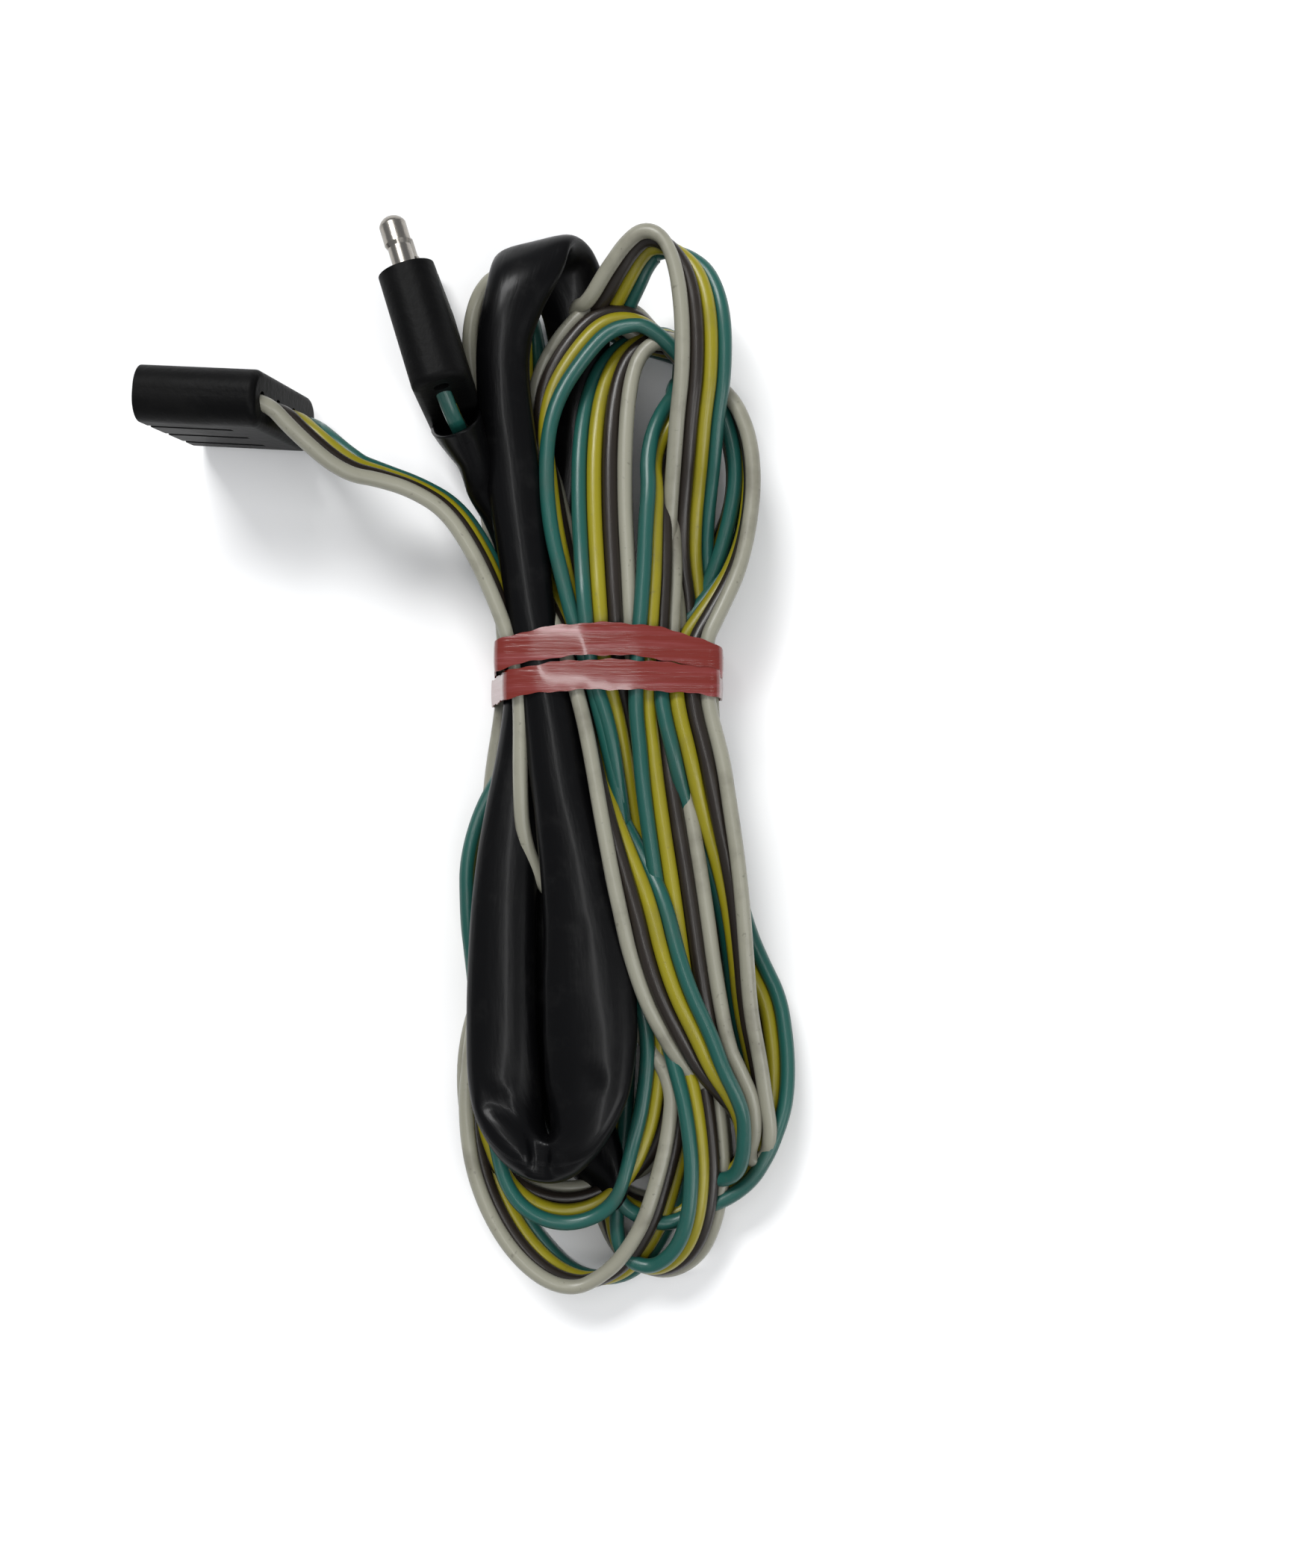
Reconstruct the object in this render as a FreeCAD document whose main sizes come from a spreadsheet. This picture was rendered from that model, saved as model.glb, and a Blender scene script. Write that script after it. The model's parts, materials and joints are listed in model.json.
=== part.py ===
import FreeCAD, Part
import math
import os
import re

# A four-way flat trailer wiring harness: one bonded ribbon of four insulated wires between a
# socket connector and a plug connector, folded into a hank and tied at the middle.
# +Z is up, the hank lies along Y, and the origin is the middle of its footprint.

os.makedirs("parts", exist_ok=True)
doc = FreeCAD.newDocument("trailer_wiring_harness")
Vector = FreeCAD.Vector

# ---------------------------------------------------------------- driving dimensions (mm)
DIMENSIONS = {
    "wire_dia": 2.65,           # insulation of one 16 AWG wire
    "core_dia": 1.4,            # stranded copper core
    "terminal_pitch": 8.5,      # spacing of the four terminals
    "body_length": 21.0,
    "body_width": 34.4,
    "body_thickness": 9.6,
    "body_corner": 4.2,
    "edge_fillet": 1.2,
    "flute_dia": 1.8,
    "flute_share": 0.7,         # of the body's length
    "contact_bore": 4.7,        # inside of a female contact
    "contact_dia": 5.6,         # outside of a female contact
    "contact_length": 12.0,
    "lip_bore": 4.9,            # rubber lip in front of a contact
    "lip_depth": 1.0,
    "crimp_dia": 3.4,
    "crimp_length": 5.0,
    "wire_seat": 4.0,           # insulation held inside the rubber
    "bullet_dia": 4.57,         # 0.180 inch bullet
    "neck_dia": 3.9,
    "shank_dia": 4.2,
    "pin_reach": 10.0,          # pin standing out of its face
    "neck_length": 4.4,
    "shoulder_length": 0.7,
    "bullet_length": 3.4,
    "seam_width": 0.3,
    "seam_length": 8.6,
    "shroud_bore": 8.3,         # well around the ground pin
    "shroud_depth": 10.5,
    "tube_dia": 8.0,            # rubber tube around the ground contact
    "tube_reach": 10.0,
    "carrier_width": 30.5,
    "carrier_thickness": 5.6,
    "carrier_depth": 3.6,
    "carrier_start": 4.6,
    "sleeve_dia": 9.6,
    "waist_width": 38.0,
    "waist_height": 23.0,
    "waist_corner": 8.0,
    "waist_length": 11.4,
    "wrap_width": 5.2,
    "tape_thickness": 0.4,
    "loop_corner": 1.2,
    "upper_loop_height": 19.0,
    "lower_loop_height": 15.0,
    "sleeve_loop_height": 22.0,
    "sleeve_lift": 0.8,         # the sleeve rests on the lowest ribbon, not on the surface
    "lead_stub": 12.0,
}
sheet = doc.addObject("Spreadsheet::Sheet", "Dimensions")
for row, (alias, value) in enumerate(DIMENSIONS.items(), start=1):
    sheet.set(f"A{row}", alias)
    sheet.set(f"B{row}", str(value))
    sheet.setAlias(f"B{row}", alias)
doc.recompute()


def size(alias):
    return float(sheet.get(alias))


def bind(obj, prop, expression):
    """Bind a property to an expression in which each alias stands for its cell."""
    linked = re.sub(
        "[a-z_]+",
        lambda word: f"Dimensions.{word.group()}" if word.group() in DIMENSIONS else word.group(),
        expression,
    )
    obj.setExpression(prop, linked)


NODES = []


def node(obj, name, place=None):
    """Name a finished sub-part and put it in its place."""
    obj.Label = name
    if place is not None:
        obj.Placement = place
    NODES.append(obj)
    return obj


# ---------------------------------------------------------------- where each connector lies
# A connector's own frame has x out of its mating face, y across its terminals and z through
# its thickness, from the middle of its rear face. Both connectors stand on a narrow side with
# the nose a little down.
NOSE_DOWN = 9.0


def standing_place(rear_middle, heading):
    """A connector on its narrow side, its nose towards a heading in degrees from +X."""
    upright = FreeCAD.Rotation(Vector(1, 0, 0), 90)
    nose_down = FreeCAD.Rotation(Vector(0, 1, 0), NOSE_DOWN)
    turn = FreeCAD.Rotation(Vector(0, 0, 1), heading)
    return FreeCAD.Placement(rear_middle, turn.multiply(nose_down).multiply(upright))


SOCKET_PLACE = standing_place(Vector(-31.6, 60.6, 20.4), 176.0)
PLUG_PLACE = standing_place(Vector(-3.1, 60.7, 21.6), 107.2)

# The terminals of each connector from its lower side to its upper side.
STATIONS = [-1.5, -0.5, 0.5, 1.5]
SOCKET_COLOURS = ["green", "yellow", "brown", "white"]
PLUG_COLOURS = ["white", "brown", "yellow", "green"]


# ---------------------------------------------------------------- shared shapes
def rod(name, diameter, start, length, station):
    """A cylinder along a connector's x at one terminal station."""
    cylinder = doc.addObject("Part::Cylinder", name)
    cylinder.Placement.Rotation = FreeCAD.Rotation(Vector(0, 1, 0), 90)
    bind(cylinder, "Radius", f"({diameter}) / 2")
    bind(cylinder, "Height", length)
    bind(cylinder, "Placement.Base.x", start)
    bind(cylinder, "Placement.Base.y", f"terminal_pitch * {station}")
    return cylinder


def cut(name, base, tool):
    result = doc.addObject("Part::Cut", name)
    result.Base = base
    result.Tool = tool
    return result


def fuse(name, shapes):
    result = doc.addObject("Part::MultiFuse", name)
    result.Shapes = shapes
    result.Refine = True
    return result


def sketch_on(body, name, role, offset=0.0):
    """A sketch on one of its body's own origin planes."""
    plane = next(item for item in body.Origin.OriginFeatures if item.Role == role)
    sketch = body.newObject("Sketcher::SketchObject", name)
    sketch.AttachmentSupport = [(plane, "")]
    sketch.MapMode = "FlatFace"
    sketch.AttachmentOffset = FreeCAD.Placement(Vector(0, 0, offset), FreeCAD.Rotation())
    return sketch


def rounded_rectangle(sketch, width, height, corner, middle_x=0.0, middle_y=0.0):
    """Four quarter arcs joined by four lines."""
    arcs = []
    for sign_x, sign_y, start in [(1, 1, 0), (-1, 1, 90), (-1, -1, 180), (1, -1, 270)]:
        centre_x = middle_x + sign_x * (width / 2 - corner)
        centre_y = middle_y + sign_y * (height / 2 - corner)
        circle = Part.Circle(Vector(centre_x, centre_y, 0), Vector(0, 0, 1), corner)
        arcs.append(Part.ArcOfCircle(circle, math.radians(start), math.radians(start + 90)))
    for index, arc in enumerate(arcs):
        following = arcs[(index + 1) % 4]
        sketch.addGeometry(arc)
        sketch.addGeometry(Part.LineSegment(arc.EndPoint, following.StartPoint))


LEAST_CUT = 20.0        # cubic millimetres that the flutes take away, or they missed the block


def rubber_block(prefix):
    """A flat moulded body, fluted between its terminals, with a soft rear edge."""
    body = doc.addObject("PartDesign::Body", f"{prefix}_rubber")
    section = sketch_on(body, f"{prefix}_section", "YZ_Plane")
    rounded_rectangle(section, size("body_width"), size("body_thickness"), size("body_corner"))
    block = body.newObject("PartDesign::Pad", f"{prefix}_block")
    block.Profile = section
    bind(block, "Length", "body_length")
    doc.recompute()
    solid_volume = block.Shape.Volume
    flutes = sketch_on(body, f"{prefix}_flute_section", "YZ_Plane", size("body_length"))
    radius = size("flute_dia") / 2
    for station in (-1, 0, 1):
        for side in (-1, 1):
            level = side * (size("body_thickness") / 2 + radius * 0.45)
            middle = Vector(station * size("terminal_pitch"), level, 0)
            flutes.addGeometry(Part.Circle(middle, Vector(0, 0, 1), radius))
    grooves = body.newObject("PartDesign::Pocket", f"{prefix}_flutes")
    grooves.Profile = flutes
    bind(grooves, "Length", "body_length * flute_share")
    doc.recompute()
    if grooves.Shape.Volume > solid_volume - LEAST_CUT:
        raise RuntimeError(f"{prefix}: the flutes cut nothing")
    rear_edges = [
        f"Edge{number}"
        for number, edge in enumerate(grooves.Shape.Edges, start=1)
        if edge.BoundBox.XMax < 0.01
    ]
    softened = body.newObject("PartDesign::Fillet", f"{prefix}_soft_edge")
    softened.Base = (grooves, rear_edges)
    bind(softened, "Radius", "edge_fillet")
    body.Tip = softened
    doc.recompute()
    return body


def carrier_block(name):
    """The outer shape of the stiff insulator that spaces the crimps inside the rubber."""
    block = doc.addObject("Part::Box", name)
    bind(block, "Length", "carrier_depth")
    bind(block, "Width", "carrier_width")
    bind(block, "Height", "carrier_thickness")
    bind(block, "Placement.Base.x", "carrier_start")
    bind(block, "Placement.Base.y", "-carrier_width / 2")
    bind(block, "Placement.Base.z", "-carrier_thickness / 2")
    return block


def terminal_carrier(prefix, place):
    holes = [
        rod(f"{prefix}_carrier_hole_{index}", "crimp_dia", "wire_seat", "crimp_length", station)
        for index, station in enumerate(STATIONS)
    ]
    pierced = cut(
        f"{prefix}_carrier", carrier_block(f"{prefix}_carrier_block"), fuse(f"{prefix}_holes", holes)
    )
    node(pierced, f"{prefix}_terminal_carrier", place)


def seats_behind_terminals(prefix):
    """The carrier's pocket, and each terminal's wire entry and crimp seat."""
    seats = [carrier_block(f"{prefix}_carrier_pocket")]
    for index, station in enumerate(STATIONS):
        wire = rod(f"{prefix}_wire_entry_{index}", "wire_dia", "-1", "wire_seat + 1", station)
        crimp = rod(f"{prefix}_crimp_seat_{index}", "crimp_dia", "wire_seat", "crimp_length", station)
        seats += [wire, crimp]
    return seats


def female_contact(prefix, name, station, mouth, place):
    """A rolled brass tube, open at its mouth, with a crimp barrel around the wire's core."""
    tube_start = f"{mouth} - lip_depth - contact_length"
    tube = rod(f"{prefix}_tube", "contact_dia", tube_start, "contact_length", station)
    barrel = rod(f"{prefix}_barrel", "crimp_dia", "wire_seat", f"{tube_start} - wire_seat", station)
    bore = rod(f"{prefix}_bore", "contact_bore", f"{tube_start} + 1", "contact_length", station)
    core = rod(f"{prefix}_core_hole", "core_dia", "wire_seat", "crimp_length - 1", station)
    solid = fuse(f"{prefix}_solid", [tube, barrel])
    hollows = fuse(f"{prefix}_hollows", [bore, core])
    node(cut(f"{prefix}_contact", solid, hollows), name, place)


def contact_seat(prefix, station, mouth):
    """The rubber's seat around one female contact, with the tighter lip in front of it."""
    tube_start = f"{mouth} - lip_depth - contact_length"
    return [
        rod(f"{prefix}_seat", "contact_dia", tube_start, "contact_length", station),
        rod(f"{prefix}_neck", "crimp_dia", "wire_seat", f"{tube_start} - wire_seat", station),
        rod(f"{prefix}_lip", "lip_bore", f"{mouth} - lip_depth", "lip_depth + 1", station),
    ]


def male_pin(prefix, name, station, base, place):
    """A rolled bullet pin: crimp barrel, shank, thinner neck and rounded tip, with its seam."""
    body = doc.addObject("PartDesign::Body", f"{prefix}_turning")
    profile = sketch_on(body, f"{prefix}_profile", "XY_Plane")
    shank_start = size("wire_seat") + size("crimp_length")
    neck_end = base + size("neck_length")
    bullet_start = neck_end + size("shoulder_length")
    bullet_end = bullet_start + size("bullet_length")
    tip = base + size("pin_reach")
    bullet = size("bullet_dia") / 2
    outline = [
        Vector(size("wire_seat"), 0, 0),
        Vector(size("wire_seat"), size("crimp_dia") / 2, 0),
        Vector(shank_start, size("crimp_dia") / 2, 0),
        Vector(shank_start, size("shank_dia") / 2, 0),
        Vector(base, size("shank_dia") / 2, 0),
        Vector(base, size("neck_dia") / 2, 0),
        Vector(neck_end, size("neck_dia") / 2, 0),
        Vector(bullet_start, bullet, 0),
        Vector(bullet_end, bullet, 0),
    ]
    nose = Vector(tip, 0, 0)
    brow = Vector(bullet_end + 0.72 * (tip - bullet_end), 0.66 * bullet, 0)
    for first, second in zip(outline, outline[1:]):
        profile.addGeometry(Part.LineSegment(first, second))
    profile.addGeometry(Part.Arc(outline[-1], brow, nose))
    profile.addGeometry(Part.LineSegment(nose, outline[0]))
    turned = body.newObject("PartDesign::Revolution", f"{prefix}_turned")
    turned.Profile = profile
    turned.ReferenceAxis = (profile, ["H_Axis"])
    turned.Angle = 360
    body.Tip = turned
    bind(body, "Placement.Base.y", f"terminal_pitch * {station}")
    seam = doc.addObject("Part::Box", f"{prefix}_seam")
    bind(seam, "Length", "seam_length")
    bind(seam, "Width", "seam_width")
    bind(seam, "Height", "bullet_dia")
    bind(seam, "Placement.Base.x", f"{base} + seam_width")
    bind(seam, "Placement.Base.y", f"terminal_pitch * {station} - seam_width / 2")
    bind(seam, "Placement.Base.z", "neck_dia / 2 - seam_width")
    core = rod(f"{prefix}_core_hole", "core_dia", "wire_seat", "crimp_length - 1", station)
    hollows = fuse(f"{prefix}_hollows", [seam, core])
    node(cut(f"{prefix}_pin", body, hollows), name, place)


def pin_seat(prefix, station, base):
    """The rubber's seat around one pin's crimp and shank."""
    shank_start = "wire_seat + crimp_length"
    return [rod(f"{prefix}_shank_seat", "shank_dia", shank_start, f"{base} - ({shank_start})", station)]


def copper_core(prefix, name, station, place):
    """The stripped strands inside a crimp barrel, as one round core."""
    strands = doc.addObject("Part::Cylinder", f"{prefix}_strands")
    bind(strands, "Radius", "core_dia / 2")
    bind(strands, "Height", "crimp_length - 1")
    root = Vector(size("wire_seat"), size("terminal_pitch") * station, 0)
    along_x = FreeCAD.Placement(root, FreeCAD.Rotation(Vector(0, 1, 0), 90))
    node(strands, name, place.multiply(along_x))


# ---------------------------------------------------------------- the two connectors
def socket_connector():
    """Three sockets in a flush face, and the ground pin down in a well."""
    face = size("body_length")
    well_floor = face - size("shroud_depth")
    hollows = seats_behind_terminals("socket")
    for colour, station in zip(SOCKET_COLOURS, STATIONS):
        prefix = f"socket_{colour}"
        if colour == "white":
            hollows += pin_seat(prefix, station, well_floor)
            hollows.append(rod("socket_well", "shroud_bore", f"{well_floor}", "shroud_depth + 1", station))
            male_pin(prefix, "socket_ground_pin", station, well_floor, SOCKET_PLACE)
        else:
            hollows += contact_seat(prefix, station, "body_length")
            female_contact(prefix, f"socket_contact_{colour}", station, "body_length", SOCKET_PLACE)
        copper_core(prefix, f"socket_core_{colour}", station, SOCKET_PLACE)
    housing = cut("socket_shell", rubber_block("socket"), fuse("socket_hollows", hollows))
    node(housing, "socket_housing", SOCKET_PLACE)
    terminal_carrier("socket", SOCKET_PLACE)


def plug_connector():
    """Three bare bullet pins, and the ground contact in a rubber tube of its own."""
    face = size("body_length")
    mouth = "body_length + tube_reach"
    hollows = seats_behind_terminals("plug")
    for colour, station in zip(PLUG_COLOURS, STATIONS):
        prefix = f"plug_{colour}"
        if colour == "white":
            tube = rod("plug_ground_tube", "tube_dia", "body_length - 2", "tube_reach + 2", station)
            hollows += contact_seat(prefix, station, mouth)
            female_contact(prefix, "plug_ground_contact", station, mouth, PLUG_PLACE)
        else:
            hollows += pin_seat(prefix, station, face)
            male_pin(prefix, f"plug_pin_{colour}", station, face, PLUG_PLACE)
        copper_core(prefix, f"plug_core_{colour}", station, PLUG_PLACE)
    rubber = fuse("plug_rubber_with_tube", [rubber_block("plug"), tube])
    housing = cut("plug_shell", rubber, fuse("plug_hollows", hollows))
    node(housing, "plug_housing", PLUG_PLACE)
    terminal_carrier("plug", PLUG_PLACE)


# ---------------------------------------------------------------- free wires
def rounded_path(points):
    """Straight runs joined by tangent arcs, each as large as its two runs allow."""
    edges = []
    radii = []
    start = points[0]
    for before, corner, after in zip(points, points[1:], points[2:]):
        back = (before - corner).normalize()
        ahead = (after - corner).normalize()
        half_turn = (math.pi - back.getAngle(ahead)) / 2
        reach = 0.45 * min(before.distanceToPoint(corner), corner.distanceToPoint(after))
        radius = reach / math.tan(half_turn)
        radii.append(radius)
        arc_start = corner + back * reach
        arc_end = corner + ahead * reach
        to_centre = (back + ahead).normalize()
        middle = corner + to_centre * (radius / math.cos(half_turn) - radius)
        edges.append(Part.LineSegment(start, arc_start).toShape())
        edges.append(Part.Arc(arc_start, middle, arc_end).toShape())
        start = arc_end
    edges.append(Part.LineSegment(start, points[-1]).toShape())
    return Part.Wire(edges), radii


def wire_tube(name, points):
    """One insulated wire: a round section along its rounded path."""
    path, radii = rounded_path(points)
    heading = points[1] - points[0]
    section = Part.Wire(Part.Circle(points[0], heading, size("wire_dia") / 2).toShape())
    tube = path.makePipeShell([section], True, False)
    expected = math.pi * size("wire_dia") ** 2 / 4 * path.Length
    print(name, "length", round(path.Length, 1), "radii", [round(radius, 1) for radius in radii])
    if abs(tube.Volume / expected - 1) > 0.02:
        raise RuntimeError(f"{name}: volume {tube.Volume:.1f}, expected {expected:.1f}")
    feature = doc.addObject("Part::Feature", f"{name}_tube")
    feature.Shape = tube
    node(feature, name)


STRAIGHT_EXIT = 3.0     # a wire leaves its connector straight for this far


def fanned_wires(connector, colours, place, route):
    """Four wires that leave a connector at its terminals and close up into the flat ribbon.

    The route holds the ribbon's middle, the direction across it and the spacing of its wires.
    """
    for colour, station in zip(colours, STATIONS):
        across = size("terminal_pitch") * station
        seated = place.multVec(Vector(size("wire_seat"), across, 0))
        clear = place.multVec(Vector(-STRAIGHT_EXIT, across, 0))
        points = [seated, clear]
        for middle, direction, spacing in route:
            points.append(Vector(*middle) + Vector(*direction).normalize() * (spacing * station))
        wire_tube(f"{connector}_wire_{colour}", points)


# The spacing stays a little over a wire's width, because the bonded wires only touch.
SOCKET_ROUTE = [
    ((-20.5, 57.0, 18.8), (-0.2, -0.35, 0.9), 5.4),
    ((-13.5, 53.5, 17.0), (-0.3, -0.55, 0.76), 3.2),
    ((-7.0, 47.8, 16.2), (-0.3, -0.55, 0.76), 2.95),
    ((-1.5, 41.4, 16.0), (-0.3, -0.55, 0.76), 2.95),
]
PLUG_ROUTE = [
    ((0.3, 54.0, 17.4), (0.0, 0.08, 1.0), 2.95),
    ((1.1, 50.4, 17.7), (0.0, 0.08, 1.0), 2.95),
]


def sleeve_lead():
    """The short stretch of sleeve between the plug's wires and the hank."""
    mouth = Vector(*PLUG_ROUTE[-1][0])
    heading = (mouth - Vector(*PLUG_ROUTE[0][0])).normalize()
    stub = Part.makeCylinder(size("sleeve_dia") / 2, size("lead_stub"), mouth, heading)
    feature = doc.addObject("Part::Feature", "sleeve_lead_stub")
    feature.Shape = stub.cut(doc.getObject("sleeve_upper_loop_body").Shape)
    node(feature, "sleeve_lead")


# ---------------------------------------------------------------- the hank
def outline_solid(name, outline, low, height_alias):
    """A slab over a plan outline, its top edges softened."""
    height = size(height_alias)
    body = doc.addObject("PartDesign::Body", f"{name}_body")
    plan = sketch_on(body, f"{name}_plan", "XY_Plane", low)
    points = [Vector(x, y, 0) for x, y in outline]
    for first, second in zip(points, points[1:] + points[:1]):
        plan.addGeometry(Part.LineSegment(first, second))
    slab = body.newObject("PartDesign::Pad", f"{name}_slab")
    slab.Profile = plan
    bind(slab, "Length", height_alias)
    doc.recompute()
    top_edges = [
        f"Edge{number}"
        for number, edge in enumerate(slab.Shape.Edges, start=1)
        if edge.BoundBox.ZMin > low + height - 0.01 and not on_waist_face(edge)
    ]
    chamfer = body.newObject("PartDesign::Chamfer", f"{name}_chamfer")
    chamfer.Base = (slab, top_edges)
    bind(chamfer, "Size", "loop_corner")
    body.Tip = chamfer
    node(body, name)


def on_waist_face(edge):
    """Whether an edge lies in one of the two planes where the loops meet the waist."""
    box = edge.BoundBox
    flat = box.YMax - box.YMin < 0.01
    return flat and (abs(box.YMin - WAIST_TOP) < 0.01 or abs(box.YMin - WAIST_BOTTOM) < 0.01)


WAIST_MIDDLE_X = 23.5
WAIST_BOTTOM = 12.6
WAIST_TOP = WAIST_BOTTOM + size("waist_length")


def waist_section(body, name, from_bottom, grow):
    """The waist's rounded section, grown all round, at a distance from the waist's lower end."""
    sketch = sketch_on(body, name, "XZ_Plane", -(WAIST_BOTTOM + from_bottom))
    rounded_rectangle(
        sketch,
        size("waist_width") + 2 * grow,
        size("waist_height") + 2 * grow,
        size("waist_corner") + grow,
        WAIST_MIDDLE_X,
        size("waist_height") / 2 + size("tape_thickness"),
    )
    return sketch


def waist():
    """The gathered crossings of the ribbon and sleeve inside the tie."""
    body = doc.addObject("PartDesign::Body", "waist_body")
    pad = body.newObject("PartDesign::Pad", "waist_pad")
    pad.Profile = waist_section(body, "waist_plan", 0.0, 0.0)
    pad.Reversed = True
    bind(pad, "Length", "waist_length")
    body.Tip = pad
    node(body, "hank_waist")


def tie_wrap(name, from_bottom):
    """One turn of tape around the waist."""
    body = doc.addObject("PartDesign::Body", f"{name}_body")
    outer = body.newObject("PartDesign::Pad", f"{name}_band")
    outer.Profile = waist_section(body, f"{name}_outside", from_bottom, size("tape_thickness"))
    outer.Reversed = True
    bind(outer, "Length", "wrap_width")
    doc.recompute()
    filled = outer.Shape.Volume
    inner = body.newObject("PartDesign::Pocket", f"{name}_opening")
    inner.Profile = waist_section(body, f"{name}_inside", from_bottom, 0.0)
    inner.Type = "ThroughAll"
    inner.Midplane = True
    body.Tip = inner
    doc.recompute()
    if inner.Shape.Volume > filled * 0.2:
        raise RuntimeError(f"{name}: the opening cut nothing")
    node(body, name)


UPPER_LOOPS = [(18.0, 24.0), (18.0, 60.0), (21.0, 84.0), (27.0, 93.2), (38.0, 92.0),
               (45.0, 75.0), (50.8, 58.0), (50.8, 46.0), (42.0, 24.0)]
LOWER_LOOPS = [(18.2, 12.6), (21.6, -8.0), (29.2, -40.0), (29.2, -60.0), (20.6, -74.2),
               (7.6, -73.2), (-1.0, -61.5), (-2.4, -66.0), (3.0, -83.0), (13.0, -92.6),
               (21.0, -93.2), (31.0, -88.0), (46.0, -78.0), (54.6, -64.0), (55.0, -50.0),
               (49.6, -33.0), (44.0, -6.0), (42.0, 12.6)]
SLEEVE_UPPER_LOOP = [(6.0, 24.0), (-1.5, 38.0), (-1.5, 44.0), (6.3, 52.0), (4.0, 66.0), (4.0, 87.0), (9.0, 91.2),
                     (17.0, 90.0), (20.0, 84.0), (17.7, 60.0), (17.7, 24.0)]
SLEEVE_LOWER_LOOP = [(6.0, 12.6), (-0.6, -25.0), (-1.8, -42.0), (-0.6, -60.0), (8.0, -72.8),
                     (20.2, -73.8), (28.8, -60.0), (28.8, -40.0), (21.2, -8.0), (17.8, 12.6)]


def hank():
    outline_solid("ribbon_upper_loops", UPPER_LOOPS, 0.0, "upper_loop_height")
    outline_solid("ribbon_lower_loops", LOWER_LOOPS, 0.0, "lower_loop_height")
    outline_solid("sleeve_upper_loop", SLEEVE_UPPER_LOOP, size("sleeve_lift"), "sleeve_loop_height")
    outline_solid("sleeve_lower_loop", SLEEVE_LOWER_LOOP, size("sleeve_lift"), "sleeve_loop_height")
    waist()
    tie_wrap("tie_wrap_lower", 0.0)
    tie_wrap("tie_wrap_upper", size("waist_length") - size("wrap_width"))


# ---------------------------------------------------------------- build and write
socket_connector()
plug_connector()
fanned_wires("socket", SOCKET_COLOURS, SOCKET_PLACE, SOCKET_ROUTE)
fanned_wires("plug", PLUG_COLOURS, PLUG_PLACE, PLUG_ROUTE)
hank()
doc.recompute()
sleeve_lead()
doc.recompute()

for obj in doc.Objects:
    if "Invalid" in obj.State or "Error" in obj.State:
        raise RuntimeError(f"{obj.Name} ({obj.Label}) failed: {obj.State}")
for obj in NODES:
    if obj.Shape.isNull() or not obj.Shape.isValid():
        raise RuntimeError(f"{obj.Label} has no valid shape")
for obj in NODES:
    obj.Shape.exportStep(f"parts/{obj.Label}.step")
    print(obj.Label, round(obj.Shape.Volume, 1), obj.Shape.BoundBox)
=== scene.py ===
import json
import math

import bpy
import numpy as np
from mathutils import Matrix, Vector


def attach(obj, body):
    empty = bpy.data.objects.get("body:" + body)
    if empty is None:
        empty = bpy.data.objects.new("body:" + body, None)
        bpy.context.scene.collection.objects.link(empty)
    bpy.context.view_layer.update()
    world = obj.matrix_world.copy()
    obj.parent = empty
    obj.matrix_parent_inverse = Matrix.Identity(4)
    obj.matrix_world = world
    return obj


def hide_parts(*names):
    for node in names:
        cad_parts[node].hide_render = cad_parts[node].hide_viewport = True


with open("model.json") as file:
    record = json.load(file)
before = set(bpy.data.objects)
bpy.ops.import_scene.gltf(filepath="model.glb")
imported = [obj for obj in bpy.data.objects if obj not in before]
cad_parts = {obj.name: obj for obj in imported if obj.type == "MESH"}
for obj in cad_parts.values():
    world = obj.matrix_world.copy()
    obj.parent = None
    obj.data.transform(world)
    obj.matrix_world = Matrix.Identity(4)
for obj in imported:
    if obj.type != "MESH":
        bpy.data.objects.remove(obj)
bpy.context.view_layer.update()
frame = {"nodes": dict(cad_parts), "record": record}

# The surface the harness lies on, the soft light over it, and the camera straight above.
# The floor is a pale matt board a little below nothing: it meets the lowest wires.
# ---------------------------------------------------------------------------------------
bpy.ops.object.select_all(action="DESELECT")
bpy.ops.mesh.primitive_plane_add(size=6.0, location=(0.0, 0.0, -0.0003))
floor = bpy.context.object
floor.name = "floor"
floor_paint = bpy.data.materials.new("pale board")
floor_paint.use_nodes = True
floor_paint.node_tree.nodes["Principled BSDF"].inputs["Base Color"].default_value = (0.9, 0.9, 0.9, 1.0)
floor_paint.node_tree.nodes["Principled BSDF"].inputs["Roughness"].default_value = 0.9
floor.data.materials.append(floor_paint)

sky = bpy.data.worlds.new("studio")
sky.use_nodes = True
sky.node_tree.nodes["Background"].inputs["Color"].default_value = (0.92, 0.95, 1.0, 1.0)
sky.node_tree.nodes["Background"].inputs["Strength"].default_value = 0.38
bpy.context.scene.world = sky


def soft_light(name, place, target, width, length, power):
    """A rectangular lamp that faces a target."""
    lamp_data = bpy.data.lights.new(name, "AREA")
    lamp_data.shape = "RECTANGLE"
    lamp_data.size = width
    lamp_data.size_y = length
    lamp_data.energy = power
    lamp = bpy.data.objects.new(name, lamp_data)
    lamp.location = place
    lamp.rotation_euler = (Vector(target) - Vector(place)).to_track_quat("-Z", "Y").to_euler()
    bpy.context.scene.collection.objects.link(lamp)


soft_light("window", (-0.35, 0.75, 0.95), (0.0, 0.0, 0.0), 0.55, 0.35, 13.0)
soft_light("tube", (0.10, -0.1, 1.1), (0.02, 0.0, 0.0), 0.05, 1.3, 4.5)
soft_light("fill", (0.9, -0.5, 0.8), (0.0, 0.0, 0.0), 0.5, 0.5, 5.0)

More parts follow.
